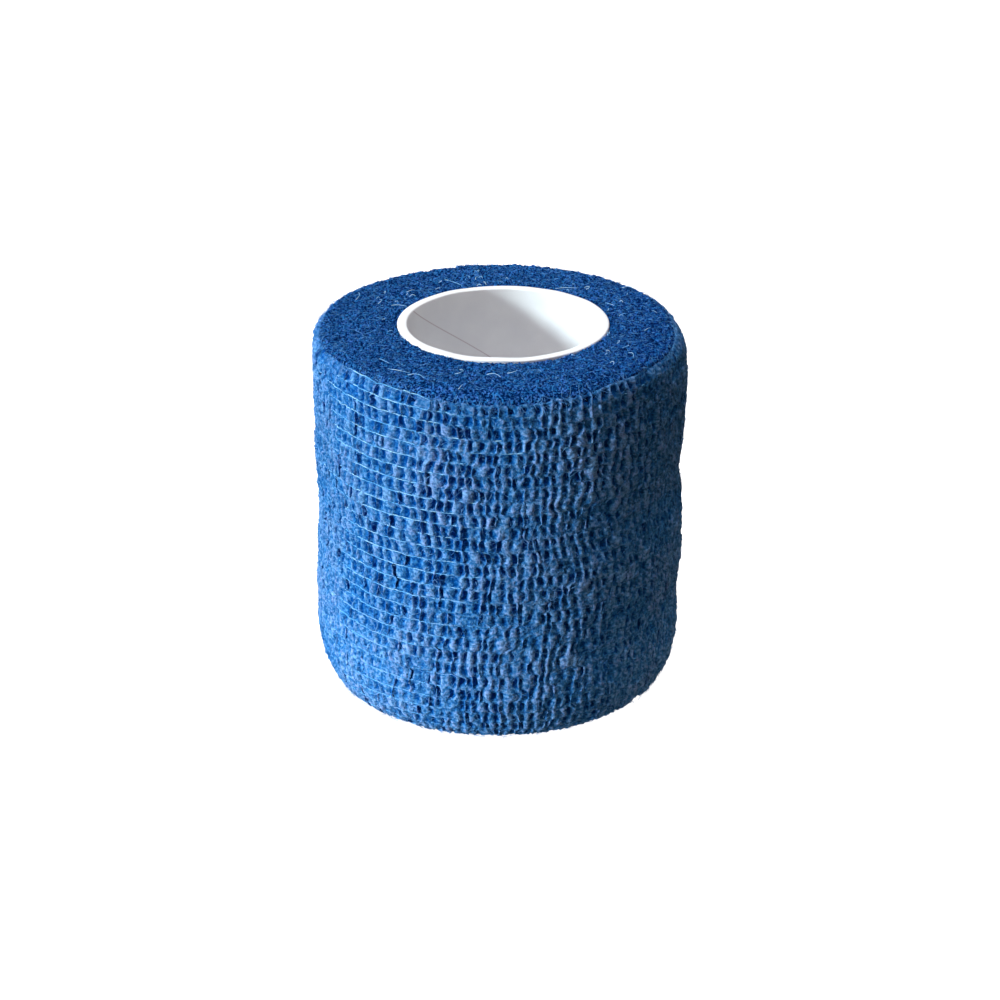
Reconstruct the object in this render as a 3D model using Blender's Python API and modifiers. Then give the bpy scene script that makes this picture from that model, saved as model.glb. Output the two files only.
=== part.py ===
"""Cohesive bandage roll: a strip of elastic crepe wound on a thin white tube, standing on one end.

Metres, +Z up. The roll stands on z = 0 with its axis close to +Z, and the front faces -Y.
"""
from collections import namedtuple
import math

import bmesh
import bpy
import numpy as np

MM = 0.001

# Driving dimensions
BANDAGE_WIDTH = 50.0 * MM       # the strip's width, and so the height of the standing roll
ROLL_RADIUS = 24.3 * MM         # half the full roll's diameter, halfway between ribs and grooves
LAYER = 0.55 * MM               # one turn of the relaxed crepe
CORE_BORE_RADIUS = 12.7 * MM    # the tube's 25.4 mm bore
CORE_WALL = 1.25 * MM
CORE_LENGTH = 50.1 * MM
CORE_PLACE = (0.6 * MM, 0.4 * MM)    # the bandage is wound a little thicker on one side
CORE_EDGE = 0.2 * MM            # softened edges of the tube's rims
GAP = 0.3 * MM                  # between the tube and the innermost turn

# The crepe: upright ribs all round, drawn up by the elastic yarns
RIBS = 128
RIB_DEPTH = 0.55 * MM
RIB_SWAY = 0.35 * MM            # how far a rib wanders sideways on its way up
RIB_UNEVEN = 0.15               # by what share the depth falls and rises from place to place
COLUMNS = 2 * RIBS              # one column of points on each rib and one in each groove

# The two rims of the roll, as quarter ellipses
TOP_RIM_IN, TOP_RIM_DROP = 1.9 * MM, 2.4 * MM
FOOT_RIM_IN, FOOT_RIM_RISE = 4.0 * MM, 7.0 * MM
TOP_RIM_POINTS, FOOT_RIM_POINTS = 3, 4

# The outer end of the strip: one layer high, straight up the back of the roll
END_ANGLE = math.radians(104)   # from +X towards +Y
END_EDGE = 0.15 * MM            # half the width over which the surface drops by one layer

# The side is uneven. Each row is one height: the share of the width above the floor, how far the
# side swells past ROLL_RADIUS there, and how far that turn slid sideways, all in millimetres.
Row = namedtuple("Row", "share swell lean_x lean_y")
ROWS = (
    Row(0.00, 0.20, -0.35, -0.10),
    Row(0.14, 0.25, -0.40, -0.20),
    Row(0.26, 0.10, -0.40, 0.00),
    Row(0.38, 0.30, -0.15, 0.05),
    Row(0.50, 0.05, 0.05, -0.20),
    Row(0.62, -0.10, -0.35, -0.30),
    Row(0.74, 0.15, -0.10, -0.05),
    Row(0.86, 0.30, 0.00, 0.05),
    Row(1.00, 0.20, -0.20, -0.05),
)
OVAL = 0.15 * MM                # how far the cross-section is from round

CORE_STEPS = 64                 # flats round the tube and round the way through the roll


def clear_scene():
    for item in list(bpy.data.objects):
        bpy.data.objects.remove(item, do_unlink=True)


def new_collection(name):
    collection = bpy.data.collections.new(name)
    bpy.context.scene.collection.children.link(collection)
    return collection


def surface_material(name, color, roughness):
    material = bpy.data.materials.new(name)
    material.use_nodes = True
    shader = material.node_tree.nodes["Principled BSDF"]
    shader.inputs["Base Color"].default_value = (*color, 1.0)
    shader.inputs["Roughness"].default_value = roughness
    shader.inputs["Metallic"].default_value = 0.0
    return material


def bandage_material():
    return surface_material("blue_crepe", (0.035, 0.15, 0.42), 0.95)


def core_material():
    return surface_material("white_tube", (0.84, 0.86, 0.87), 0.55)


def turned_object(name, profile, closed, steps, collection):
    """Turn a profile of (radius, height) points, run top to bottom down the outer side, about Z."""
    points = [(radius, 0.0, height) for radius, height in profile]
    edges = [(k, k + 1) for k in range(len(points) - 1)]
    if closed:
        edges.append((len(points) - 1, 0))
    mesh = bpy.data.meshes.new(name)
    mesh.from_pydata(points, edges, [])
    turned = bpy.data.objects.new(name, mesh)
    collection.objects.link(turned)
    screw = turned.modifiers.new("turn", "SCREW")
    screw.steps = screw.render_steps = steps
    screw.use_merge_vertices = True
    screw.merge_threshold = 0.00001
    return turned


def freeze_modifiers(item):
    """Replace the object's mesh with its evaluated one, so that its points can be moved."""
    bpy.context.view_layer.update()
    evaluated = item.evaluated_get(bpy.context.evaluated_depsgraph_get())
    mesh = bpy.data.meshes.new_from_object(evaluated)
    item.modifiers.clear()
    item.data = mesh
    return mesh


def rim(radius_in, height, points):
    """A quarter ellipse from the side (0, 0) to the end face (-radius_in, height)."""
    turns = np.linspace(0.0, math.pi / 2, points)
    return [(radius_in * (math.cos(turn) - 1.0), height * math.sin(turn)) for turn in turns]


def roll_profile():
    """The roll's outer side, from the top face's edge down over both rims to the base."""
    top_rim = [(ROLL_RADIUS + inward, BANDAGE_WIDTH - TOP_RIM_DROP + rise)
               for inward, rise in rim(TOP_RIM_IN, TOP_RIM_DROP, TOP_RIM_POINTS)]
    foot_rim = [(ROLL_RADIUS + inward, FOOT_RIM_RISE - drop)
                for inward, drop in rim(FOOT_RIM_IN, FOOT_RIM_RISE, FOOT_RIM_POINTS)]
    heights = [row.share * BANDAGE_WIDTH for row in reversed(ROWS)]
    side = [(ROLL_RADIUS, height) for height in heights
            if FOOT_RIM_RISE < height < BANDAGE_WIDTH - TOP_RIM_DROP]
    return list(reversed(top_rim)) + side + foot_rim


def row_values(column, heights):
    """One column of ROWS, in metres, between its rows in straight steps."""
    shares = [row.share for row in ROWS]
    values = [getattr(row, column) * MM for row in ROWS]
    return np.interp(heights / BANDAGE_WIDTH, shares, values)


def draw_to_the_end(angles):
    """Draw the two columns beside the strip's outer end close to it, so the edge stands up."""
    away = (angles - END_ANGLE + math.pi) % (2 * math.pi) - math.pi
    beside = np.abs(away) < 2 * math.pi / COLUMNS
    return np.where(beside, END_ANGLE + np.sign(away) * END_EDGE / ROLL_RADIUS, angles)


def rib_height(angles, heights):
    """Ribs and grooves in turn round the side, a little uneven, and none on the end faces."""
    from_ends = np.minimum(heights, BANDAGE_WIDTH - heights)
    fade = np.clip(from_ends / TOP_RIM_DROP, 0.0, 1.0)
    rise = heights / BANDAGE_WIDTH
    uneven = 1.0 - RIB_UNEVEN * (1.0 - np.sin(5 * angles + 7 * rise) * np.cos(9 * angles - 11 * rise))
    return RIB_DEPTH / 2 * np.cos(RIBS * angles) * fade * uneven


def rib_drift(angles, heights):
    """How far a rib has wandered sideways at each height, as an angle: slow waves up the side."""
    rise = heights / BANDAGE_WIDTH
    waves = np.sin(3 * angles + 6 * rise) * np.sin(4 * math.pi * rise)
    return RIB_SWAY / ROLL_RADIUS * waves


def out_of_round(angles):
    """The cross-section's departure from a circle: two lobes and three lobes, a little turned."""
    return OVAL * (np.cos(2 * angles + 0.6) + 0.6 * np.cos(3 * angles - 1.0))


def shape_the_crepe(mesh):
    """Move the turned points: the wound layer, the ribs, the swells and leans of the side."""
    points = np.empty(len(mesh.vertices) * 3)
    mesh.vertices.foreach_get("co", points)
    points = points.reshape(-1, 3)
    radii = np.hypot(points[:, 0], points[:, 1])
    angles = np.arctan2(points[:, 1], points[:, 0])
    heights = points[:, 2]

    ribs = rib_height(angles, heights)
    drift = rib_drift(angles, heights)
    angles = draw_to_the_end(angles)
    share_of_turn = ((angles - END_ANGLE) / (2 * math.pi)) % 1.0
    beside_end = np.minimum(share_of_turn, 1.0 - share_of_turn) < 2.0 / COLUMNS
    angles = angles + np.where(beside_end, 0.0, drift)
    radii = radii + ribs + out_of_round(angles) + LAYER * (share_of_turn - 0.5)
    radii = radii + row_values("swell", heights)

    points[:, 0] = radii * np.cos(angles) + row_values("lean_x", heights)
    points[:, 1] = radii * np.sin(angles) + row_values("lean_y", heights)
    mesh.vertices.foreach_set("co", points.ravel())
    mesh.update()


def close_ends(mesh):
    """Fill the two open circles of the turned side with the roll's flat end faces."""
    work = bmesh.new()
    work.from_mesh(mesh)
    bmesh.ops.holes_fill(work, edges=[edge for edge in work.edges if edge.is_boundary])
    bmesh.ops.recalc_face_normals(work, faces=work.faces)
    work.to_mesh(mesh)
    work.free()


def core_way(collection):
    """The cutter for the round way through the roll, wider than the tube by the gap."""
    bpy.ops.mesh.primitive_cylinder_add(vertices=CORE_STEPS, radius=CORE_BORE_RADIUS + CORE_WALL + GAP,
                                        depth=2 * BANDAGE_WIDTH)
    cutter = bpy.context.active_object
    cutter.name = "core_way"
    cutter.location = (*CORE_PLACE, BANDAGE_WIDTH / 2)
    cutter.hide_render = True
    cutter.display_type = "WIRE"
    for owner in list(cutter.users_collection):
        owner.objects.unlink(cutter)
    collection.objects.link(cutter)
    return cutter


def bandage_roll(collection, cutters):
    roll = turned_object("bandage_roll", roll_profile(), False, COLUMNS, collection)
    mesh = freeze_modifiers(roll)
    shape_the_crepe(mesh)
    close_ends(mesh)
    mesh.shade_smooth()
    mesh.set_sharp_from_angle(angle=math.radians(50))
    mesh.materials.append(bandage_material())
    cut = roll.modifiers.new("core_way", "BOOLEAN")
    cut.operation = "DIFFERENCE"
    cut.solver = "EXACT"
    cut.object = core_way(cutters)
    return roll


def core_tube(collection):
    outer = CORE_BORE_RADIUS + CORE_WALL
    inner = CORE_BORE_RADIUS
    low, high = 0.0, CORE_LENGTH
    profile = [(outer - CORE_EDGE, high), (outer, high - CORE_EDGE),
               (outer, low + CORE_EDGE), (outer - CORE_EDGE, low),
               (inner + CORE_EDGE, low), (inner, low + CORE_EDGE),
               (inner, high - CORE_EDGE), (inner + CORE_EDGE, high)]
    tube = turned_object("core_tube", profile, True, CORE_STEPS, collection)
    mesh = freeze_modifiers(tube)
    mesh.shade_smooth()
    mesh.set_sharp_from_angle(angle=math.radians(30))
    mesh.materials.append(core_material())
    tube.location = (*CORE_PLACE, 0.0)
    return tube


def build():
    clear_scene()
    parts = new_collection("cohesive_bandage_roll")
    cutters = new_collection("cutters")
    bandage_roll(parts, cutters)
    core_tube(parts)


build()
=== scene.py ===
# %% [markdown]
# # A roll of cohesive bandage
#
# The real thing is one strip of thin non-woven cloth, 50 mm wide. Elastic yarns run along it. They
# were stretched while the cloth was stuck to them, so they draw it up into a fine crepe: rows of
# little pits with upright pleats between them. The strip is wound on a white tube and stands on one
# end.
#
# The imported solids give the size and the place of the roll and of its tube. The pieces made here
# lie on those solids: the outer turn with its crepe, the elastic yarns on it, the two end faces
# where all the inner turns show their edges, the loose fibres, and the tube.

# %% Load the solids
import math

import bpy
import numpy as np
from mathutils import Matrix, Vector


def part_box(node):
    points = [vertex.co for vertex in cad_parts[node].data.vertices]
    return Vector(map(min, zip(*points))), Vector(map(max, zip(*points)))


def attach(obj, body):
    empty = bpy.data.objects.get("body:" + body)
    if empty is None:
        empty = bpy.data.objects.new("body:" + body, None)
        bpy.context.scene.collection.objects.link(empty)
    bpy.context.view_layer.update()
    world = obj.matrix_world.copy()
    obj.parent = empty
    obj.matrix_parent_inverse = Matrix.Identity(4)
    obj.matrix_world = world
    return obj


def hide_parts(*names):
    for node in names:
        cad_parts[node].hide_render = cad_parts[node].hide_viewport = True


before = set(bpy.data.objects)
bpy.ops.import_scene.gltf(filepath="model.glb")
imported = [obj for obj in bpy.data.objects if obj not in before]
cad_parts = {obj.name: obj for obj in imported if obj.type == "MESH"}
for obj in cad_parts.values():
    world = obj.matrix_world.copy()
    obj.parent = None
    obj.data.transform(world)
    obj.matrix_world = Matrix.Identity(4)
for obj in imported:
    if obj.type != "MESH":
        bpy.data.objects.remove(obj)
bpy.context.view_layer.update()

# %% [markdown]
# ## Sizes
#
# Every length below is in millimetres, because a bandage is easier to think about in millimetres.
# A piece is turned into metres when its mesh is made. The width of the strip and the size of the
# tube are read from the solids, and the rest repeats the named sizes that the solids were made
# from, so that the cloth lies where the solid roll does.

# %% Sizes of the roll and the tube
MM = 0.001
roll_low, roll_high = (np.array(corner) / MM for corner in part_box("bandage_roll"))
tube_low, tube_high = (np.array(corner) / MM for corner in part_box("core_tube"))

WIDTH = roll_high[2] - roll_low[2]
ROLL_RADIUS = 24.3
LAYER = 0.55
TUBE_RADIUS = (tube_high[0] - tube_low[0]) / 2
TUBE_WALL = 1.25
TUBE_X, TUBE_Y = (tube_low[:2] + tube_high[:2]) / 2
TUBE_TOP = tube_high[2]
END_ANGLE = math.radians(104)

TOP_RIM_IN, TOP_RIM_DROP = 1.9, 2.4
FOOT_RIM_IN, FOOT_RIM_RISE = 4.0, 7.0
print("strip", round(WIDTH, 2), "mm wide, tube", round(2 * TUBE_RADIUS, 2), "mm across")

# %% [markdown]
# ## The uneven side
#
# The turns slid a little over each other while the strip was wound, so the side has waists and
# swells. The table has one row for each height, as in the solids: how far the side swells there and
# how far the turn slid sideways. Between two rows the values change with a soft step.

# %% Waists and swells
SIDE_SHARES = np.array([0.00, 0.14, 0.26, 0.38, 0.50, 0.62, 0.74, 0.86, 1.00])
SIDE_SWELL = np.array([0.20, 0.25, 0.10, 0.30, 0.05, -0.10, 0.15, 0.30, 0.20])
SIDE_LEAN_X = np.array([-0.35, -0.40, -0.40, -0.15, 0.05, -0.35, -0.10, 0.00, -0.20])
SIDE_LEAN_Y = np.array([-0.10, -0.20, 0.00, 0.05, -0.20, -0.30, -0.05, 0.05, -0.05])
OVAL = 0.15


def soft_rows(values, height):
    """The table's value at a height: from row to row along half a cosine wave."""
    place = np.interp(height / WIDTH, SIDE_SHARES, np.arange(len(SIDE_SHARES)))
    row = np.minimum(place.astype(int), len(SIDE_SHARES) - 2)
    step = (1 - np.cos(math.pi * (place - row))) / 2
    return values[row] * (1 - step) + values[row + 1] * step


def out_of_round(angle):
    """The cross-section's departure from a circle: two lobes and three lobes, a little turned."""
    return OVAL * (np.cos(2 * angle + 0.6) + 0.6 * np.cos(3 * angle - 1.0))


# %% [markdown]
# ## The shape that the outer turn lies on
#
# Cut through the axis, the side is a straight line with a quarter ellipse at each end. A point on it
# is named by how far along that outline it lies, from the top edge down to the base, and by its
# share of the way round from the strip's outer end. The radius grows by one layer on the way round,
# so the strip's end stands one layer high.

# %% The outline of the side, as a dense line with its outward direction
TOP_EDGE_TURN = math.radians(55)
EDGE_SAGS = np.array([
    # angle in degrees, drop in millimetres, spread in degrees
    [271, 1.45, 30],
])
EDGE_LEANS = np.array([
    # angle in degrees, how far the edge leans in, in millimetres, spread in degrees
    [5, 1.0, 21], [175, 0.35, 12],
])
LEAN_DOWN = 3.4                 # how far below the top edge the lean reaches


def bells(angle, table):
    """The sum of a bell curve of the angle for each row of the table: angle, height, spread."""
    at, size, spread = table.T
    away = np.degrees(np.angle(np.exp(1j * (angle[..., None] - np.radians(at)))))
    return (size * np.exp(-(away / spread) ** 2)).sum(axis=-1)


def side_outline():
    """Distance along, inward offset, height and outward direction, down both rims and the side."""
    top = np.linspace(TOP_EDGE_TURN, 0, 60)
    foot = np.linspace(0, math.pi / 2, 120)
    side = np.linspace(WIDTH - TOP_RIM_DROP, FOOT_RIM_RISE, 200)[1:-1]
    inward = np.concatenate([TOP_RIM_IN * (np.cos(top) - 1), 0 * side, FOOT_RIM_IN * (np.cos(foot) - 1)])
    height = np.concatenate([WIDTH - TOP_RIM_DROP * (1 - np.sin(top)), side, FOOT_RIM_RISE * (1 - np.sin(foot))])
    along = np.concatenate([[0], np.cumsum(np.hypot(np.diff(inward), np.diff(height)))])
    down_in, down_height = np.gradient(inward, along), np.gradient(height, along)
    return along, inward, height, -down_height, down_in


ALONG, INWARD, HEIGHT, OUT_RADIAL, OUT_UP = side_outline()
STRIP = ALONG[-1]
print("the strip's outline is", round(STRIP, 1), "mm from edge to edge")


def on_the_side(share, along, proud=0.0):
    """Points and outward directions at a share of the way round and a distance along the outline.

    radius = mean radius + inward offset + swell + lobes + one layer times (share - 1/2) - the lean
    of the top edge, and the point then moves proud millimetres along the outward direction."""
    share, along, proud = np.broadcast_arrays(share, along, proud)
    angle = END_ANGLE + 2 * math.pi * share
    height = np.interp(along, ALONG, HEIGHT)
    radial, up = np.interp(along, ALONG, OUT_RADIAL), np.interp(along, ALONG, OUT_UP)
    radius = ROLL_RADIUS + np.interp(along, ALONG, INWARD) + soft_rows(SIDE_SWELL, height)
    radius = radius + out_of_round(angle) + LAYER * (share - 0.5) + radial * proud
    near_top = np.clip(1 - (WIDTH - height) / LEAN_DOWN, 0, 1)
    radius = radius - bells(angle, EDGE_LEANS) * near_top ** 1.5
    points = np.stack([radius * np.cos(angle) + soft_rows(SIDE_LEAN_X, height),
                       radius * np.sin(angle) + soft_rows(SIDE_LEAN_Y, height),
                       height + up * proud], axis=-1)
    outward = np.stack([radial * np.cos(angle), radial * np.sin(angle), up], axis=-1)
    return points, outward


def edge_drop(share):
    """How far the strip's top edge has slid down: a bell curve of the angle for each sag."""
    return bells(END_ANGLE + 2 * math.pi * share, EDGE_SAGS)


# %% [markdown]
# ## Helpers: noise, meshes and threads
#
# Cloth is never regular. The noise here is white noise on a grid, blurred by a bell curve in each
# direction. The blur is done on the Fourier transform, which makes the pattern join up with itself
# all the way round the roll.

# %% Smooth noise that joins up with itself
def soft_noise(rows, columns, row_blur, column_blur, seed):
    """White noise blurred by a Gaussian of the given widths, in grid steps, scaled to deviation 1."""
    white = np.random.default_rng(seed).standard_normal((rows, columns))
    row_wave = np.fft.fftfreq(rows)[:, None] * 2 * math.pi * row_blur
    column_wave = np.fft.rfftfreq(columns)[None, :] * 2 * math.pi * column_blur
    spectrum = np.fft.rfft2(white) * np.exp(-(row_wave ** 2 + column_wave ** 2) / 2)
    spectrum[0, 0] = 0
    field = np.fft.irfft2(spectrum, s=(rows, columns))
    return field / field.std()


# %% [markdown]
# A mesh is written straight from arrays: the points, then the faces as a list of corners. A loop in
# Python over a hundred thousand points would take minutes, and this takes well under a second.

# %% Meshes from arrays
def ring_faces(rows, columns, closed_rows):
    """Quads of a grid whose last column joins the first, and its last row too if closed_rows."""
    row = np.arange(rows if closed_rows else rows - 1)[:, None]
    column = np.arange(columns)[None, :]
    below, beside = (row + 1) % rows, (column + 1) % columns
    corners = [row * columns + column, below * columns + column,
               below * columns + beside, row * columns + beside]
    return np.stack(corners, axis=-1).reshape(-1, 4)


def mesh_piece(name, points, polygons, material, attributes=None):
    """A smooth mesh object from points in millimetres and lists of equal-sized faces."""
    mesh = bpy.data.meshes.new(name)
    polygons = [np.asarray(faces) for faces in polygons]
    corners = np.concatenate([faces.ravel() for faces in polygons])
    sizes = np.concatenate([np.full(len(faces), faces.shape[1]) for faces in polygons])
    mesh.vertices.add(len(points))
    mesh.vertices.foreach_set("co", (points * MM).astype(np.float32).ravel())
    mesh.loops.add(len(corners))
    mesh.loops.foreach_set("vertex_index", corners.astype(np.int32))
    mesh.polygons.add(len(sizes))
    starts = np.concatenate([[0], np.cumsum(sizes)[:-1]])
    mesh.polygons.foreach_set("loop_start", starts.astype(np.int32))
    for label, values in (attributes or {}).items():
        layer = mesh.attributes.new(label, "FLOAT", "POINT")
        layer.data.foreach_set("value", values.astype(np.float32).ravel())
    mesh.update(calc_edges=True)
    mesh.shade_smooth()
    mesh.materials.append(material)
    piece = bpy.data.objects.new(name, mesh)
    bpy.context.scene.collection.objects.link(piece)
    print(name, len(points), "points", int((sizes - 2).sum()), "triangles")
    return piece


def belongs(piece, node):
    """The piece rides with the roll and stands for a solid, which is hidden."""
    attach(piece, "root")
    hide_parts(node)


# %% Threads: many thin tubes in one mesh
def threads(paths, radius, sides):
    """Points and faces of round threads: a ring of points about each point of each path.

    paths is (threads, steps, 3). The ring at a step stands square to the path there, and a flat
    face closes each end."""
    count, steps = paths.shape[:2]
    heading = np.gradient(paths, axis=1)
    heading /= np.linalg.norm(heading, axis=-1, keepdims=True)
    spare = np.where(np.abs(heading[..., 2:]) > 0.8, [1.0, 0.0, 0.0], [0.0, 0.0, 1.0])
    across = np.cross(heading, spare)
    across /= np.linalg.norm(across, axis=-1, keepdims=True)
    other = np.cross(heading, across)
    turn = 2 * math.pi * np.arange(sides) / sides
    ring = (across[:, :, None] * np.cos(turn)[:, None] + other[:, :, None] * np.sin(turn)[:, None])
    radius = np.broadcast_to(radius, (count, steps))
    points = paths[:, :, None] + ring * radius[:, :, None, None]
    first = (np.arange(count) * steps * sides)[:, None, None]
    step = (np.arange(steps - 1) * sides)[None, :, None]
    side = np.arange(sides)[None, None, :]
    beside = (side + 1) % sides
    quads = np.stack([first + step + side, first + step + beside,
                      first + step + sides + beside, first + step + sides + side], axis=-1)
    start_cap = (first[:, 0] + side[0, :, ::-1])
    end_cap = (first[:, 0] + (steps - 1) * sides + side[0])
    return points.reshape(-1, 3), [quads.reshape(-1, 4), start_cap, end_cap]


# %% [markdown]
# ## The crepe of the outer turn
#
# Between two elastic yarns the cloth is drawn up into a row of pits with upright pleats between
# them. Each pit is about a millimetre each way, so a plain grid would need millions of faces to
# catch its rim. Here the grid follows the crepe instead. Every pleat has the same five columns and
# every row of pits the same five rows, and the columns and rows move sideways with the pleat that
# they belong to. So each pit gets a crisp floor, two walls and a rounded ridge from few points.

# %% How many rows of pits and pleats
PIT_ROWS = 29
PLEATS = 129
ROWS_EACH = 5
COLUMNS_EACH = 5
CLOTH = 0.9                     # the outer turn's body, with the layer that is stuck under it
EDGE = 0.12                     # the rounded cut edge along the strip
PIT_PITCH = (STRIP - EDGE) / PIT_ROWS
COLUMNS = PLEATS * COLUMNS_EACH
print("a row of pits every", round(PIT_PITCH, 2), "mm, a pleat every",
      round(2 * math.pi * ROLL_RADIUS / PLEATS, 2), "mm")

# %% [markdown]
# The pits differ. Small tables with one value for each pit say how deep it is, how wide, how far it
# has slipped sideways and how high its ridge stands. Random draws with a fixed seed fill them, and
# blurred noise makes neighbours alike, as stuck cloth makes them.

# %% One value for each pit
draw = np.random.default_rng(11)
PITS = (PIT_ROWS, PLEATS)
FLATTEST_AT = math.radians(203)
pleat_angle = END_ANGLE + 2 * math.pi * (np.arange(PLEATS) + 0.5) / PLEATS
from_flattest = np.degrees(np.angle(np.exp(1j * (pleat_angle - FLATTEST_AT))))
pit_from_top = (np.arange(PIT_ROWS)[:, None] + 0.5) / PIT_ROWS
low_down = np.clip((pit_from_top - 0.49) / 0.3, 0, 1)
pit_open = (1 - low_down) * np.exp(-((from_flattest - 26) / 29) ** 2)
pit_depth = 0.34 + 0.05 * soft_noise(*PITS, 1.5, 3, 21)
pit_depth += 0.08 * (1 - 0.6 * pit_open) * draw.standard_normal(PITS)
pit_depth *= np.where(draw.random(PITS) < 0.09 * (1 - pit_open), 0.35, 1.0)
pit_depth *= 1 - 0.55 * low_down * np.exp(-(from_flattest / 25) ** 2)
pit_depth *= 1 + 0.55 * pit_open
at_front = np.exp(-((from_flattest - 84) / 24) ** 2)
pit_depth *= 1 + 0.6 * at_front * np.exp(-np.arange(PIT_ROWS) / 1.5)[:, None]
pit_depth *= 1 + 0.3 * np.exp(-((from_flattest - 95) / 28) ** 2)
pit_depth *= np.clip((1 - pit_from_top) / 0.09 + 0.3, 0, 1)
pit_depth = np.clip(pit_depth, 0.05, 0.76)
pit_width = np.clip(1 + 0.22 * pit_open + 0.18 * draw.standard_normal(PITS), 0.55, 1.35)
pit_slip = 0.23 * draw.standard_normal(PITS) + 0.1 * soft_noise(*PITS, 0.5, 1.5, 22)
pit_slip += 0.30 * soft_noise(*PITS, 2.2, 6, 23)
edge_rows = at_front * np.exp(-np.arange(PIT_ROWS) / 1.6)[:, None]
pit_slip *= 1 - 0.7 * edge_rows
pit_width += 0.3 * edge_rows
ridge_height = 0.09 + 0.09 * soft_noise(*PITS, 0.5, 0.5, 24) + 0.1 * edge_rows
ridge_height -= np.where(draw.random(PITS) < 0.06, 0.3, 0.0)
ridge_height *= np.clip((1 - pit_from_top) / 0.09 + 0.3, 0, 1)
from_end = np.minimum(np.arange(PLEATS), PLEATS - np.arange(PLEATS))
pit_slip *= np.clip(from_end / 5, 0, 1)
pit_depth[:, [0, PLEATS - 1]] *= 0.25
print("pits from", round(pit_depth.min(), 2), "to", round(pit_depth.max(), 2), "mm deep")

# %% [markdown]
# On a yarn the cloth is pinned, so the ridge dips and the pit comes up to meet it. Where the hold is
# weak the pits of two rows run into each other, and the crepe looks like upright ribs. That is so on
# the right of the roll, while on the left every pit is closed. In the upper left the pits are also
# square, with steep upper and lower walls.

# %% From pits to rows of points
OUTER_ROWS = PIT_ROWS * ROWS_EACH + 1
POINTS = (OUTER_ROWS, PLEATS)
HELD_MOST_AT = math.radians(205)
step_in_pit = np.arange(OUTER_ROWS) % ROWS_EACH
PIT_SHAPE = np.array([0.0, 0.36, 1.0, 1.0, 0.36])[step_in_pit][:, None]
ROW_PHASE = np.array([0.0, 0.17, 0.36, 0.66, 0.85])[step_in_pit]
on_yarn = (step_in_pit == 0)[:, None]


def rows_of(values):
    """Each row takes the value of its own row of pits, and a row on a yarn the mean of two."""
    below = np.minimum(np.arange(OUTER_ROWS) // ROWS_EACH, PIT_ROWS - 1)
    above = np.maximum((np.arange(OUTER_ROWS) - 1) // ROWS_EACH, 0)
    return (values[below] + values[above]) / 2


hold = 0.82 + 0.08 * np.cos(pleat_angle - HELD_MOST_AT)
hold = hold + 0.15 * soft_noise(*POINTS, 8, 9, 31) + 0.22 * soft_noise(*POINTS, 0.5, 0.8, 32)
hold = np.clip(hold, 0.05, 1)
beside_yarn = np.isin(step_in_pit, (1, 4))[:, None]
pit_shape = PIT_SHAPE + np.where(beside_yarn, 0.38 * rows_of(pit_open), 0.0)
depth = rows_of(pit_depth) * (1 - hold * (1 - pit_shape))
ridge = rows_of(ridge_height) - np.where(on_yarn, 0.19 * hold, 0.0)
print("rows of points", OUTER_ROWS, "columns", COLUMNS)

# %% [markdown]
# Now the five columns of a pleat. The first runs along the ridge. The other four are the shoulder
# and the floor's edge on one side of the pit, and the same on the other side.

# %% The relief of the crepe and where its columns lie
SHOULDER, FLOOR_EDGE = 0.29, 0.165
slip = rows_of(pit_slip) + 0.08 * soft_noise(*POINTS, 0.6, 0.4, 33)
width = rows_of(pit_width)
ridge_slip = (slip + np.roll(slip, 1, axis=1)) / 2
phases = [ridge_slip] + [slip + 0.5 + side * width for side in (-SHOULDER, -FLOOR_EDGE, FLOOR_EDGE, SHOULDER)]
place = np.arange(PLEATS)[None, :, None] + np.stack(phases, axis=-1)
place[:, -1, :] = PLEATS - 1 + np.array([0.0, 0.3, 0.6, 0.85, 0.97])
shoulder = 0.6 * ridge - 0.14 * depth
relief = np.stack([ridge, shoulder, -depth, -depth, shoulder], axis=-1)
relief[:, -1, :] = 0.06
place, relief = place.reshape(OUTER_ROWS, COLUMNS), relief.reshape(OUTER_ROWS, COLUMNS)
relief += 0.065 * soft_noise(OUTER_ROWS, COLUMNS, 0.35, 0.35, 41)
relief += 0.045 * soft_noise(OUTER_ROWS, COLUMNS, 9, 14, 42)

# %% Pleats are wider on one side of the roll
pleat_span = 1 + 0.05 * np.cos(pleat_angle - HELD_MOST_AT) + 0.12 * soft_noise(1, PLEATS, 0.1, 1.2, 43)[0]
pleat_edges = np.concatenate([[0], np.cumsum(pleat_span)]) / pleat_span.sum()
share = np.interp(place, np.arange(PLEATS + 1), pleat_edges)
lift = 0.22 * np.exp(-(1 - share) * 2 * math.pi * ROLL_RADIUS / 1.3)
print("pleats from", round(pleat_span.min(), 2), "to", round(pleat_span.max(), 2), "of the mean width")

# %% [markdown]
# The strip's body closes behind the crepe: the inner side follows the same outline a cloth's
# thickness further in, and the top edge is rounded over and waves a little, because every pleat
# pulls it differently.

# %% The outer turn as one closed shell
edge_wave = 0.09 * soft_noise(1, COLUMNS, 0.1, 1.2, 51)[0] + 0.06 * soft_noise(1, COLUMNS, 0.1, 9, 52)[0]
along = EDGE + PIT_PITCH * (np.arange(OUTER_ROWS) // ROWS_EACH + ROW_PHASE)[:, None]
along = along + edge_wave * np.clip(1 - along / 2.5, 0, 1) + edge_drop(share) * np.clip(1 - along / 12, 0, 1)
along += np.where(on_yarn, 0.02, 0.07) * soft_noise(OUTER_ROWS, COLUMNS, 0.2, 1.0, 53)
along += 0.13 * soft_noise(OUTER_ROWS, COLUMNS, 9, 24, 54) * np.clip(along / 4, 0, 1)
outer, _ = on_the_side(share, np.clip(along, 0.02, STRIP), relief + lift)
INNER_ALONG = np.array([0.985, 0.93, 0.86, 0.5, 0.04, 0.01])[:, None] * STRIP
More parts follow.
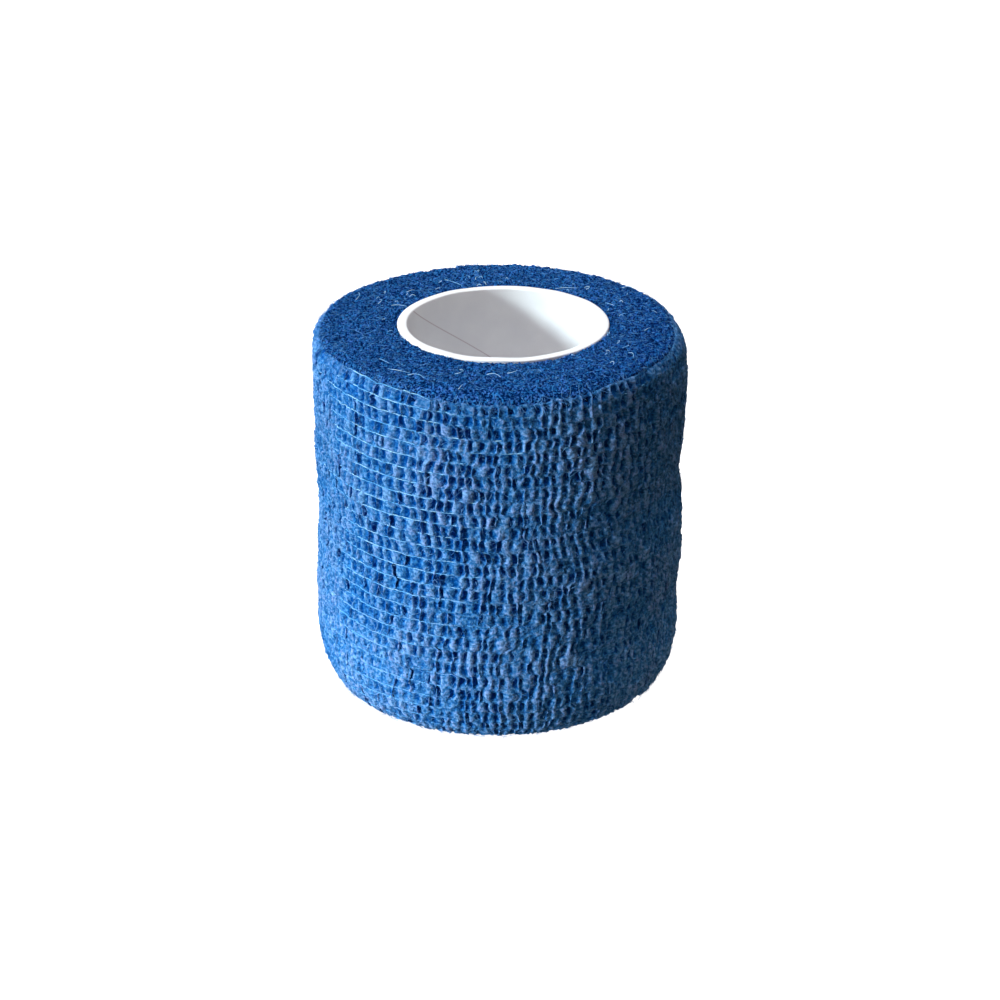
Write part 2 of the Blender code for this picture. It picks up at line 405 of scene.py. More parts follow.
inner, _ = on_the_side(share[-1:], INNER_ALONG, -CLOTH)
edge_in, _ = on_the_side(share[:1], np.clip(along[:1] - EDGE, 0, STRIP), -0.55 + 0.3 * relief[:1])
edge_out, _ = on_the_side(share[:1], np.clip(along[:1] - EDGE, 0, STRIP), -0.2 + 0.7 * relief[:1])
outer_turn_points = np.concatenate([outer, inner, edge_in, edge_out])
outer_turn_points[..., 2] = np.maximum(outer_turn_points[..., 2], 0.0)
fill = np.zeros((len(inner) + 2, COLUMNS))
outer_turn_relief = np.concatenate([relief, fill])
print("outer turn", outer_turn_points.shape)

# %% [markdown]
# A woven or crêped pattern should follow the strip, so the mesh gets a flat map of it: the distance
# along the strip goes across the map, and the distance over the strip goes up. One unit of the map
# is one centimetre. The quad that joins the last column to the first keeps counting, so that the map
# has no jump squeezed into it.


# %% A flat map of a ring-shaped piece
def map_the_strip(piece, around, over, full_turn, closed_rows):
    """Corner by corner: around / 10 across the map and over / 10 up it, both lengths in millimetres."""
    rows, columns = around.shape
    row = np.arange(rows if closed_rows else rows - 1)[:, None]
    column = np.arange(columns)[None, :]
    flat = []
    for down, beside in ((0, 0), (1, 0), (1, 1), (0, 1)):
        next_row, next_column = (row + down) % rows, (column + beside) % columns
        past_the_end = np.where(column + beside == columns, full_turn, 0.0)
        flat.append(np.stack([around[next_row, next_column] + past_the_end,
                              over[next_row, next_column]], axis=-1))
    layer = piece.data.uv_layers.new(name="strip")
    layer.data.foreach_set("uv", (np.stack(flat, axis=2) / 10).astype(np.float32).ravel())


# %% [markdown]
# ## Finishes
#
# A finish is a small tree of shader nodes. The helper below adds one node and sets or links its
# sockets, so that a finish reads like a recipe.

# %% A helper for shader nodes
def new_finish(name):
    """An empty node material and its Principled shader."""
    finish = bpy.data.materials.new(name)
    finish.use_nodes = True
    return finish, finish.node_tree, finish.node_tree.nodes["Principled BSDF"]


def add(tree, kind, settings=None, **sockets):
    """One shader node: settings are its options, sockets are numbers, colours or linked outputs."""
    node = tree.nodes.new(kind)
    for option, value in (settings or {}).items():
        setattr(node, option, value)
    for label, value in sockets.items():
        put(tree, node, label.replace("_", " "), value)
    return node


def put(tree, node, label, value):
    """Set a socket by name, or by number where its name is shared, or link an output to it."""
    socket = node.inputs[int(label) if label.isdigit() else label]
    if isinstance(value, bpy.types.NodeSocket):
        tree.links.new(value, socket)
    else:
        socket.default_value = value


def blend_colors(tree, share, low, high, way="MIX"):
    """The colour low where share is 0 and high where it is 1."""
    mix = tree.nodes.new("ShaderNodeMix")
    mix.data_type, mix.blend_type = "RGBA", way
    for socket, value in zip((mix.inputs[0], mix.inputs[6], mix.inputs[7]), (share, low, high)):
        if isinstance(value, bpy.types.NodeSocket):
            tree.links.new(value, socket)
        else:
            socket.default_value = value
    return mix.outputs[2]


def stretch(tree, value, low, high):
    """The value moved from the range low to high onto 0 to 1, and cut off there."""
    return add(tree, "ShaderNodeMapRange", Value=value, From_Min=low, From_Max=high).outputs[0]


print("finishes are made from", len(("add", "put", "blend_colors", "stretch")), "helpers")

# %% [markdown]
# The cloth is a felt of fine polyester fibres with a dry rubbery binder: quite matt, with a soft
# sheen where fibres stand up. The colour is darker in the pits, which is painted shade where little
# light comes back, and lighter on the ridges, which are rubbed and also carry a painted highlight.
# The mesh carries the height of the crepe as an attribute, so the colour can follow it exactly.
# Streaks of noise, pulled long in two directions on the strip's map, give the felt its fibres. On the
# left of the roll painted light is multiplied into the colour: above the foot it has less red in it,
# and near the top edge it is brightest, as a painted highlight where the edge catches light from
# above.

# %% The blue felt
# The pits' colour is painted shade. The ridges' colours are lighter, partly from rubbing and partly as a painted
# highlight.
PIT_SHADE_BLUE = (0.0, 0.078, 0.35, 1)
MIDDLE_BLUE = (0.029, 0.176, 0.472, 1)
RIDGE_BLUE = (0.118, 0.283, 0.585, 1)
VIOLET_BLUE = (0.142, 0.273, 0.598, 1)


def streaks(tree, where, turn, long_way, short_way, detail=2.0):
    """Noise that is stretched along a direction, as fibres lie in a felt."""
    turned = add(tree, "ShaderNodeMapping", Vector=where, Rotation=(0, 0, math.radians(turn)),
                 Scale=(long_way, short_way, 1)).outputs[0]
    return add(tree, "ShaderNodeTexNoise", Vector=turned, Scale=1.0, Detail=detail).outputs[0]


def painted_light_on_the_left(tree, place, color):
    """The colour times a painted light tint for its height, which fades in towards the left of the roll."""
    axes = add(tree, "ShaderNodeSeparateXYZ", Vector=place)
    # Painted light on the left: less red above the foot, and a painted highlight near the top edge.
    above_foot, near_edge = stretch(tree, axes.outputs[2], 0.012, 0.026), stretch(tree, axes.outputs[2], 0.040, 0.047)
    painted_side_light = blend_colors(tree, above_foot, (1, 1, 1, 1), (0.79, 0.93, 0.96, 1))
    tint = blend_colors(tree, near_edge, painted_side_light, (0.90, 1.06, 1.12, 1))
    left_painted_light = blend_colors(tree, stretch(tree, axes.outputs[0], -0.008, -0.018), (1, 1, 1, 1), tint)
    return blend_colors(tree, 1.0, color, left_painted_light, "MULTIPLY")


def painted_shade_on_the_right(tree, place, color):
    """The colour of an end face with painted shade, which darkens it a little on the right of the roll."""
    right = add(tree, "ShaderNodeSeparateXYZ", Vector=place).outputs[0]
    tint = blend_colors(tree, stretch(tree, right, 0.008, 0.018), (1, 1, 1, 1), (0.76, 0.84, 0.92, 1))
    return blend_colors(tree, 1.0, color, tint, "MULTIPLY")


def felt_finish(name, low, high, colors, fibres_on_map, sheen, grain_scale, grain_span, patchy):
    """Colour by height between low and high millimetres, with painted shade low down, and with fibre
    streaks, grains and a bump.

    grain_scale is how many grains go on a metre, grain_span is the spread of noise values that
    counts as dark to light, and patchy is how far a grain moves the colour up or down."""
    finish, tree, shader = new_finish(name)
    height = add(tree, "ShaderNodeAttribute", {"attribute_name": "relief"}).outputs["Fac"]
    where = add(tree, "ShaderNodeTexCoord")
    place = where.outputs["Object"]
    cloudy = add(tree, "ShaderNodeTexNoise", Vector=place, Scale=0.4 * grain_scale, Detail=3.0).outputs[0]
    speckle = add(tree, "ShaderNodeTexNoise", Vector=place, Scale=grain_scale, Detail=2.0).outputs[0]
    grain = stretch(tree, speckle, 0.5 - grain_span, 0.5 + grain_span)
    if fibres_on_map:
        flat = where.outputs["UV"]
        along = streaks(tree, flat, 14, 10, 48)
        across = streaks(tree, flat, -62, 10, 44)
        tangle = add(tree, "ShaderNodeMath", {"operation": "MAXIMUM"}, **{"0": along, "1": across}).outputs[0]
    else:
        tangle = add(tree, "ShaderNodeTexNoise", Vector=place, Scale=1500.0, Detail=1.0).outputs[0]
    fibre = stretch(tree, tangle, 0.42, 0.68)
    spread = add(tree, "ShaderNodeMath", {"operation": "MULTIPLY_ADD"},
                 **{"0": grain, "1": patchy, "2": -patchy / 2}).outputs[0]
    level = add(tree, "ShaderNodeMath", {"operation": "ADD"},
                **{"0": stretch(tree, height, low, high), "1": spread}).outputs[0]
    # The deep colour goes where the height is low: painted shade in the hollows.
    deep, middle, light, other = colors
    lower = blend_colors(tree, stretch(tree, level, 0.0, 0.5), deep, middle)
    raised = blend_colors(tree, stretch(tree, cloudy, 0.42, 0.6), light, other)
    color = blend_colors(tree, stretch(tree, level, 0.5, 1.0), lower, raised)
    lit_fibre = blend_colors(tree, fibre, (0.78, 0.80, 0.84, 1), (1.3, 1.25, 1.18, 1))
    dusty = blend_colors(tree, grain, (0.70, 0.73, 0.76, 1), (1.32, 1.28, 1.24, 1))
    color = painted_light_on_the_left(tree, place, color) if fibres_on_map else painted_shade_on_the_right(tree, place, color)
    lit = blend_colors(tree, 1.0, color, lit_fibre, "MULTIPLY")
    put(tree, shader, "Base Color", blend_colors(tree, 1.0, lit, dusty, "MULTIPLY"))
    both = add(tree, "ShaderNodeMath", {"operation": "ADD"}, **{"0": fibre, "1": grain}).outputs[0]
    bump = add(tree, "ShaderNodeBump", Height=both, Strength=0.8, Distance=0.00012)
    put(tree, shader, "Normal", bump.outputs[0])
    put(tree, shader, "Roughness", add(tree, "ShaderNodeMapRange", Value=grain, To_Min=0.8, To_Max=1.0).outputs[0])
    shader.inputs["Specular IOR Level"].default_value = 0.0
    shader.inputs["Sheen Weight"].default_value = sheen
    shader.inputs["Sheen Roughness"].default_value = 0.5
    shader.inputs["Sheen Tint"].default_value = (0.30, 0.58, 1.0, 1)
    return finish


crepe_blues = (PIT_SHADE_BLUE, MIDDLE_BLUE, RIDGE_BLUE, VIOLET_BLUE)
crepe = felt_finish("crepe_cloth", -0.44, 0.22, crepe_blues, True, 0.06, 2200.0, 0.13, 0.5)
print("finish", crepe.name, len(crepe.node_tree.nodes), "nodes")

# %% The outer turn takes its place
outer_turn_faces = ring_faces(len(outer_turn_points), COLUMNS, True)
outer_turn = mesh_piece("outer_turn", outer_turn_points.reshape(-1, 3), [outer_turn_faces], crepe,
                        {"relief": outer_turn_relief})
TURN_LENGTH = 2 * math.pi * ROLL_RADIUS
all_shares = np.concatenate([share, np.repeat(share[-1:], len(inner), 0), share[:1], share[:1]])
all_along = np.concatenate([along, INNER_ALONG + 0 * share[-1:], along[:1] - EDGE, along[:1] - EDGE])
map_the_strip(outer_turn, all_shares * TURN_LENGTH, all_along, TURN_LENGTH, True)
belongs(outer_turn, "bandage_roll")

# %% [markdown]
# ## The elastic yarns
#
# A fine pale yarn lies in every line between two rows of pits. It is half sunk in the cloth and
# comes up here and there, so it shows as a row of light dashes. Each yarn is a thin tube along its
# line on the outer turn. Yarns are easy to see on one side of the roll and nearly hidden on the
# other, where the binder covers them. At the strip's cut end most of them stick out a little, and
# bend down onto the turn below.

# %% Yarn paths
YARN_RADIUS = 0.08
YARN_STEPS = 5 * PLEATS
YARN_SIDES = 3
YARNS = PIT_ROWS
YARN_GRID = (YARNS, YARN_STEPS)
YARN_SHOWS_AT = math.radians(233)
yarn_rows = np.arange(PIT_ROWS) * ROWS_EACH
yarn_share = np.linspace(0.0, 1.0, YARN_STEPS)[None, :] + np.zeros((YARNS, 1))
yarn_draw = np.random.default_rng(61)
tail = np.clip(yarn_draw.uniform(-0.4, 2.0, (YARNS, 1)), 0, None) / TURN_LENGTH
tail_bend = 0.45 * yarn_draw.standard_normal((YARNS, 1))
tail_run = np.clip((yarn_share - 0.99) / 0.01, 0, 1)
yarn_share = yarn_share + tail * tail_run
yarn_relief, yarn_along = (np.stack([np.interp(yarn_share[k], np.sort(share[row]), values[row])
                                     for k, row in enumerate(yarn_rows)]) for values in (relief, along))
yarn_from = np.degrees(np.angle(np.exp(1j * (END_ANGLE + 2 * math.pi * yarn_share - YARN_SHOWS_AT))))
yarn_seen = np.exp(-(yarn_from / 25) ** 2)
yarn_high = np.clip(1.4 - 1.6 * yarn_rows / OUTER_ROWS, 0, 1)[:, None]
yarn_shows = (0.105 + 0.085 * yarn_high) * yarn_seen - 0.15 + 0.025 * soft_noise(*YARN_GRID, 0.3, 9, 62)
yarn_shows = yarn_shows + 0.03 * soft_noise(*YARN_GRID, 0.2, 1.6, 64)
yarn_shows[0] -= 0.25 * (1 - yarn_seen[0])
yarn_along = yarn_along + 0.03 * soft_noise(*YARN_GRID, 0.2, 2.2, 65) + tail_bend * tail_run ** 2
yarn_proud = (1 - 0.6 * yarn_seen) * yarn_relief + yarn_shows - 0.35 * tail_run ** 2
yarn_paths, _ = on_the_side(yarn_share, np.clip(yarn_along, 0.0, STRIP), yarn_proud)
print("yarns", len(yarn_paths), "with", YARN_STEPS, "steps each")


# %% The yarns' finish and mesh
def yarn_finish():
    """Pale thread: light blue with whiter stretches, which the blue binder covers lower down."""
    finish, tree, shader = new_finish("elastic_yarn")
    place = add(tree, "ShaderNodeTexCoord").outputs["Object"]
    patches = add(tree, "ShaderNodeTexNoise", Vector=place, Scale=420.0, Detail=2.0).outputs[0]
    twist = add(tree, "ShaderNodeTexNoise", Vector=place, Scale=5200.0, Detail=1.0).outputs[0]
    height = add(tree, "ShaderNodeSeparateXYZ", Vector=place).outputs[2]
    bare = blend_colors(tree, stretch(tree, height, 0.012, 0.036), (0.19, 0.46, 0.86, 1), (0.35, 0.74, 1.0, 1))
    color = blend_colors(tree, stretch(tree, patches, 0.42, 0.62), (0.10, 0.42, 0.84, 1), bare)
    put(tree, shader, "Base Color", color)
    put(tree, shader, "Normal", add(tree, "ShaderNodeBump", Height=twist, Strength=0.5, Distance=0.00003).outputs[0])
    shader.inputs["Roughness"].default_value = 0.6
    shader.inputs["Specular IOR Level"].default_value = 0.1
    return finish


pale_yarn = yarn_finish()
yarn_points, yarn_faces = threads(yarn_paths, YARN_RADIUS, YARN_SIDES)
elastic_yarns = mesh_piece("elastic_yarns", yarn_points, yarn_faces, pale_yarn)
belongs(elastic_yarns, "bandage_roll")

# %% [markdown]
# ## The end faces
#
# Inside the outer turn lie some nineteen more, and their cut edges make the two end faces. They are
# pressed together and frayed, so the face looks like coarse felt in which the spiral only just
# shows. One grid makes each face: its columns go round, and its rows go up the tube's side, over
# the face and down again inside the outer turn, so that the body is closed.

# %% Grains and turns of an end face
TURNS = 19
FACE_CLEAR = 0.06               # between the tube and the innermost turn
FACE_DEEP = 3.0                 # how far the body of the face reaches down into the roll


def turn_edges(share, across, seed, crimp):
    """Height of the face in millimetres: a rounded edge for each turn of the spiral, plus frayed grains.

    The number of turns out from the tube is TURNS * across - share, shifted by noise as the crepe
    crimps every edge. The edge is high in the middle of a turn and low between two."""
    rows, columns = across.shape
    turns_out = TURNS * across - share + crimp * soft_noise(rows, columns, 2.5, 4, seed)
    middle = np.abs(2 * (turns_out % 1.0) - 1)
    edges = 0.09 * (0.6 - middle ** 3)
    tufts = 0.055 * soft_noise(rows, columns, 1.7, 1.9, seed + 1)
    grains = 0.06 * soft_noise(rows, columns, 0.55, 0.6, seed + 2)
    swell = 0.07 * soft_noise(rows, columns, 14, 40, seed + 3)
    return edges + tufts + grains + swell, edges + tufts + grains


def rim_fall(distance_in, rim_in, rim_drop):
    """How far a quarter-ellipse rim has fallen at a distance in from the side."""
    cosine = np.clip(1 - distance_in / rim_in, 0, 1)
    return rim_drop * (1 - np.sqrt(1 - cosine ** 2))


# %% One end face as a closed ring
def end_face(columns, rows_across, top, seed):
    """Points and relief of the ring, its rows ordered so that the faces look outward.

    A point of the face lies on the straight line from the tube's side to the hidden edge under the
    outer turn. Its height is the strip's edge, less the rim's fall there, plus the frayed edges."""
    share = np.arange(columns)[None, :] / columns
    angle = END_ANGLE + 2 * math.pi * share
    near = TUBE_RADIUS + FACE_CLEAR
    inner_xy = np.stack([TUBE_X + near * np.cos(angle), TUBE_Y + near * np.sin(angle)], axis=-1)
    rim_along = 0.25 + edge_drop(share) if top else STRIP - 0.3
    outer_xy = on_the_side(share, rim_along, -0.35)[0][..., :2]
    across = np.linspace(0, 1, rows_across)[:, None] + 0 * share
    height, relief = turn_edges(share, across, seed, 0.16)
    span = np.linalg.norm(outer_xy - inner_xy, axis=-1)
    if top:
        rim_start = 0.2 - np.interp(rim_along, ALONG, INWARD)
        fall = rim_fall(rim_start + (1 - across) * span, TOP_RIM_IN, TOP_RIM_DROP)
        near_tube = 0.12 * np.exp(-across * span / 0.5)
        z = WIDTH - 0.10 - fall - near_tube + height
    else:
        z = np.maximum(0.09 - height, 0.0)
    pull = 0.05 * soft_noise(rows_across, columns, 0.8, 0.8, seed + 5)
    pull[[0, -1]] = 0
    xy = inner_xy + (outer_xy - inner_xy) * (across + pull / span)[..., None]
    face = np.concatenate([xy, z[..., None]], axis=-1)
    floor_z = WIDTH - FACE_DEEP if top else FACE_DEEP
    inner_wall = np.concatenate([inner_xy, 0 * inner_xy[..., :1] + floor_z], axis=-1)
    outer_wall = np.concatenate([outer_xy, 0 * outer_xy[..., :1] + floor_z], axis=-1)
    points = np.concatenate([inner_wall, face, outer_wall])
    relief = np.concatenate([0 * share - 0.2, relief, 0 * share - 0.2])
    return (points, relief) if top else (points[::-1], relief[::-1])


top_points, top_relief = end_face(980, 98, True, 71)
base_points, base_relief = end_face(640, 60, False, 81)
print("top face", round(top_points[..., 2].min(), 2), "to", round(top_points[..., 2].max(), 2), "mm high")

# %% The end faces' finish and meshes
# The deepest blue is painted shade in the low places between the turns' edges and their grains; the others are the
# felt's own blues.
FACE_SHADE_BLUE = (0.0, 0.019, 0.10, 1)
FACE_BLUE = (0.002, 0.042, 0.21, 1)
FACE_LIGHT = (0.016, 0.140, 0.42, 1)
FACE_OTHER = (0.034, 0.125, 0.43, 1)
face_blues = (FACE_SHADE_BLUE, FACE_BLUE, FACE_LIGHT, FACE_OTHER)
edge_felt = felt_finish("cut_edges", -0.14, 0.18, face_blues, False, 0.0, 3900.0, 0.08, 1.3)
for label, points, heights in (("top_turn_edges", top_points, top_relief),
                               ("base_turn_edges", base_points, base_relief)):
    ring = ring_faces(len(points), points.shape[1], True)
    face = mesh_piece(label, points.reshape(-1, 3), [ring], edge_felt, {"relief": heights})
    belongs(face, "bandage_roll")

# %% [markdown]
# ## Loose fibres
#
# Fibre ends stand up all over the felt. They are far too thin to see one by one, but together they
# blur the outline and put pale specks on the face. Each is a three-sided thread with a bend in it.
# Thousands of them go into one mesh.


# %% Paths of loose fibres
def lie_flat(directions, outward):
    """The directions with their outward part taken away, at unit length."""
    flat = directions - (directions * outward).sum(axis=-1, keepdims=True) * outward
    return flat / np.linalg.norm(flat, axis=-1, keepdims=True)


def fibre_paths(roots, outward, length, rise, bend, seed, steps=4):
    """root + length * (flat * t + bend * t squared + outward * rise * (t - 0.6 t squared)).

    t runs from 0 at the root to 1 at the tip. A fibre runs over the surface in a random flat
    direction, bends sideways, and lifts off the surface by its own random share of rise."""
    luck = np.random.default_rng(seed)
    outward = outward / np.linalg.norm(outward, axis=-1, keepdims=True)
    heading = lie_flat(luck.standard_normal(roots.shape), outward)
    sideways = bend * lie_flat(luck.standard_normal(roots.shape), outward)
    lifted = outward * rise * luck.uniform(0.15, 1.0, (len(roots), 1))
    t = np.linspace(0, 1, steps)[None, :, None]
    course = heading[:, None] * t + sideways[:, None] * t ** 2 + lifted[:, None] * (t - 0.6 * t ** 2)
    paths = roots[:, None] + length[:, None, None] * course
    paths[..., 2] = np.clip(paths[..., 2], 0.02, None)
    return paths


def fibre_finish(name, dark, light, roughness):
    """Fibres of one dye, some of them paler than others."""
    finish, tree, shader = new_finish(name)
    place = add(tree, "ShaderNodeTexCoord").outputs["Object"]
    which = add(tree, "ShaderNodeTexNoise", Vector=place, Scale=1400.0, Detail=0.0).outputs[0]
    put(tree, shader, "Base Color", blend_colors(tree, stretch(tree, which, 0.4, 0.65), dark, light))
    shader.inputs["Roughness"].default_value = roughness
    shader.inputs["Specular IOR Level"].default_value = 0.1
    return finish


blue_fibre = fibre_finish("blue_fibre", (0.04, 0.18, 0.48, 1), (0.13, 0.36, 0.74, 1), 0.8)
face_fibre = fibre_finish("face_fibre", (0.01, 0.10, 0.32, 1), (0.13, 0.39, 0.82, 1), 0.8)

# %% Fibres on the side and on the top face
SIDE_FIBRES = 9400
RIM_FIBRES = 1000               # of these, the ones that stand along the strip's top edge
TOP_FIBRES = 5000
pick = np.random.default_rng(91)
at_row = pick.integers(0, OUTER_ROWS - 4, SIDE_FIBRES)
at_row[:RIM_FIBRES] %= 2
at_column = pick.integers(0, COLUMNS, SIDE_FIBRES)
_, side_outward = on_the_side(share, along)
side_paths = fibre_paths(outer[at_row, at_column], side_outward[at_row, at_column],
                         pick.uniform(0.4, 1.3, SIDE_FIBRES), 0.55, 0.4, 92)
at_row = pick.integers(8, 98, TOP_FIBRES)
at_column = pick.integers(0, 980, TOP_FIBRES)
straight_up = np.array([0.0, 0.0, 1.0])
top_paths = fibre_paths(top_points[at_row, at_column], straight_up + np.zeros((TOP_FIBRES, 3)),
                        pick.uniform(0.3, 1.0, TOP_FIBRES), 0.6, 0.5, 93)
for label, paths, radius, finish in (("side_fibres", side_paths, 0.026, blue_fibre),
                                     ("top_fibres", top_paths, 0.02, face_fibre)):
    points, faces = threads(paths, radius, 3)
    belongs(mesh_piece(label, points, faces, finish), "bandage_roll")

# %% [markdown]
# Some longer white fibres, from another cloth, have stuck to the top face, and one small white tuft
# sits low on the left. The table has a row for each: where it lies, how long it is, which way it
# points and how much it curls. Angles are in degrees from +X towards +Y.

# %% White lint
LINT = np.array([
    # angle, share across the face, length, heading, curl
    [157, 0.74, 3.2, 72, 0.5], [152, 0.46, 1.9, -70, -0.9], [157, 0.24, 2.4, -22, 0.4],
    [115, 0.45, 3.6, -52, 0.3], [220, 0.62, 2.2, -65, 0.6], [229, 0.75, 3.4, -40, 0.5],
    [238, 0.78, 2.6, -12, -0.5], [252, 0.49, 2.6, 20, 1.6], [264, 0.44, 2.2, -10, -0.5],
    [272, 0.38, 2.4, 8, 1.3], [62, 0.05, 3.4, -8, 0.4], [48, 0.30, 1.8, 50, 2.4],
    [39, 0.76, 1.6, -12, 0.3], [330, 0.40, 1.6, 10, 1.4], [327, 0.56, 2.2, -58, -0.6],
    [258, 0.95, 1.7, 62, 0.3], [28, 0.15, 1.8, -60, 0.8], [351, 0.52, 1.4, 30, 0.7],
    [139, 0.34, 1.6, 20, 0.6],
])
BITS = 34
bit_draw = np.random.default_rng(98)
short_bits = np.stack([bit_draw.uniform(0, 360, BITS), 0.02 + 0.83 * bit_draw.beta(1.0, 2.0, BITS),
                       bit_draw.uniform(0.4, 1.2, BITS), bit_draw.uniform(-90, 90, BITS),
                       bit_draw.normal(0, 1.2, BITS)], axis=1)
lint_angle, lint_across, lint_length, lint_heading, lint_curl = np.concatenate([LINT, short_bits]).T
lint_share = ((np.radians(lint_angle) - END_ANGLE) / (2 * math.pi)) % 1.0
lint_row = 1 + np.round(lint_across * 97).astype(int)
lint_root = top_points[lint_row, np.round(lint_share * 979).astype(int)]
LINT_STEPS = 12
run = np.linspace(0, 1, LINT_STEPS)[None, :]
course = np.radians(lint_heading)[:, None] + lint_curl[:, None] * 2 * (run - 0.3)
stride = (lint_length / LINT_STEPS)[:, None]
lint_rise = 0.12 + 0.22 * np.sin(math.pi * run) + 0 * stride
lint_paths = np.stack([lint_root[:, :1] + np.cumsum(stride * np.cos(course), axis=1),
                       lint_root[:, 1:2] + np.cumsum(stride * np.sin(course), axis=1),
                       WIDTH + lint_rise], axis=-1)
TUFT_ANGLE, TUFT_HEIGHT, TUFT_FIBRES = math.radians(208.5), 16.2, 14
tuft_share = (TUFT_ANGLE - END_ANGLE) / (2 * math.pi)
tuft_place, tuft_outward = on_the_side(tuft_share, np.interp(-TUFT_HEIGHT, -HEIGHT, ALONG), 0.1)
tuft_draw = np.random.default_rng(97)
tuft_across = np.array([-math.sin(TUFT_ANGLE), math.cos(TUFT_ANGLE), 0.0])
tuft_course = 0.8 * tuft_across + 0.5 * straight_up + 0.35 * tuft_draw.standard_normal((TUFT_FIBRES, 3))
tuft_run = run[..., None] - 0.5
tuft_paths = tuft_place + 0.12 * tuft_draw.standard_normal((TUFT_FIBRES, 1, 3)) + tuft_course[:, None] * tuft_run
tuft_paths = tuft_paths + tuft_outward * (0.3 - 0.8 * tuft_run ** 2)
white_lint = fibre_finish("white_lint", (0.20, 0.52, 0.92, 1), (0.50, 0.78, 1.0, 1), 0.6)
lint_points, lint_faces = threads(np.concatenate([lint_paths, tuft_paths]), 0.036, 5)
belongs(mesh_piece("lint", lint_points, lint_faces, white_lint), "bandage_roll")

# %% [markdown]
# ## The tube
#
# The roll is wound on a white tube. It is a plain wall with rounded rims, and a closed profile
# carried round its axis makes it. The tube was wound from a wide strip, so a fine seam climbs its
# bore as a helix.

# %% Profile of the tube's wall
TUBE_COLUMNS = 288
RIM_ROUND = 0.16
BORE_ROWS = 40
SEAM_PITCH = 57.0
SEAM_TOP_ANGLE = math.radians(161)
SEAM_HALF = 0.0009              # half the seam's line, in turns


def tube_profile():
    """Radius and height down the outer wall, in under the foot, up the bore and out over the rim."""
    turn = np.linspace(0, math.pi / 2, 6)
    near, far = TUBE_RADIUS - TUBE_WALL + RIM_ROUND, TUBE_RADIUS - RIM_ROUND
    low, high = RIM_ROUND, TUBE_TOP - RIM_ROUND
    down = np.linspace(high, low, 8)[1:-1]
    up = np.linspace(low, high, BORE_ROWS)[1:-1]
    radius = [far + RIM_ROUND * np.sin(turn), TUBE_RADIUS + 0 * down, far + RIM_ROUND * np.cos(turn),
              near - RIM_ROUND * np.sin(turn), near - RIM_ROUND + 0 * up, near - RIM_ROUND * np.cos(turn)]
    height = [high + RIM_ROUND * np.cos(turn), down, low - RIM_ROUND * np.sin(turn),
              low - RIM_ROUND * np.cos(turn), up, high + RIM_ROUND * np.sin(turn)]
    return np.concatenate(radius), np.concatenate(height)


tube_radius, tube_height = tube_profile()
print("tube wall", round(TUBE_WALL, 2), "mm, profile", len(tube_radius), "points")

# %% The tube with its seam
tube_angle = 2 * math.pi * np.arange(TUBE_COLUMNS)[None, :] / TUBE_COLUMNS
bore = (tube_radius < TUBE_RADIUS - TUBE_WALL + 0.01)[:, None]
seam_turns = (tube_angle - SEAM_TOP_ANGLE) / (2 * math.pi) + (TUBE_TOP - tube_height[:, None]) / SEAM_PITCH
wall_wave = 0.02 * soft_noise(len(tube_radius), TUBE_COLUMNS, 6, 14, 95)
radius = tube_radius[:, None] + wall_wave
rim_wave = 0.03 * soft_noise(1, TUBE_COLUMNS, 0.1, 5, 96) * (tube_height[:, None] > TUBE_TOP - 1)
tube_points = np.stack([TUBE_X + radius * np.cos(tube_angle), TUBE_Y + radius * np.sin(tube_angle),
                        np.clip(tube_height[:, None] + rim_wave, 0, TUBE_TOP + 0.05)], axis=-1)


def tube_finish():
    """White board with a smooth satin face and faint clouds, and a fine dark line along the seam.

    The map's first number counts turns from the seam, so its distance to a whole number says how
    far the seam is."""
    finish, tree, shader = new_finish("white_tube")
    where = add(tree, "ShaderNodeTexCoord")
    place = where.outputs["Object"]
    turns = add(tree, "ShaderNodeSeparateXYZ", Vector=where.outputs["UV"]).outputs[0]
    off_seam = add(tree, "ShaderNodeMath", {"operation": "PINGPONG"}, **{"0": turns, "1": 0.5}).outputs[0]
    in_bore = add(tree, "ShaderNodeAttribute", {"attribute_name": "bore"}).outputs["Fac"]
    near = add(tree, "ShaderNodeMapRange", Value=off_seam, From_Min=SEAM_HALF, From_Max=2.5 * SEAM_HALF,
               To_Min=1.0, To_Max=0.0).outputs[0]
    line = add(tree, "ShaderNodeMath", {"operation": "MULTIPLY"}, **{"0": near, "1": in_bore}).outputs[0]
    clouds = add(tree, "ShaderNodeTexNoise", Vector=place, Scale=260.0, Detail=4.0).outputs[0]
    grain = add(tree, "ShaderNodeTexNoise", Vector=place, Scale=3000.0, Detail=2.0).outputs[0]
    board = blend_colors(tree, stretch(tree, clouds, 0.35, 0.65), (0.86, 0.86, 0.90, 1), (0.91, 0.91, 0.94, 1))
    put(tree, shader, "Base Color", blend_colors(tree, line, board, (0.64, 0.58, 0.62, 1)))
    put(tree, shader, "Normal", add(tree, "ShaderNodeBump", Height=grain, Strength=0.2, Distance=0.00002).outputs[0])
    put(tree, shader, "Roughness", add(tree, "ShaderNodeMapRange", Value=clouds, To_Min=0.42, To_Max=0.58).outputs[0])
    return finish


tube = mesh_piece("white_core_tube", tube_points.reshape(-1, 3),
                  [ring_faces(len(tube_radius), TUBE_COLUMNS, True)], tube_finish(),
                  {"bore": bore + 0.0 * tube_angle})
map_the_strip(tube, 10 * seam_turns, tube_height[:, None] + 0 * tube_angle, 10.0, True)
belongs(tube, "core_tube")

# %% [markdown]
# ## Floor, light and camera
#
# The roll stands on a plain pale floor. The key light is a soft one, low on the left and a little
# towards the camera, so that it rakes over the crepe, and the right side falls into shade. The tube
# has a low light of its own, which crosses the bore as a slanting edge. A soft light overhead and a
# pale sky fill the rest. Sun lamps with a wide disc give the same soft light everywhere, so the
# floor stays even.

# %% The floor
FLOOR_RADIUS = 3000.0


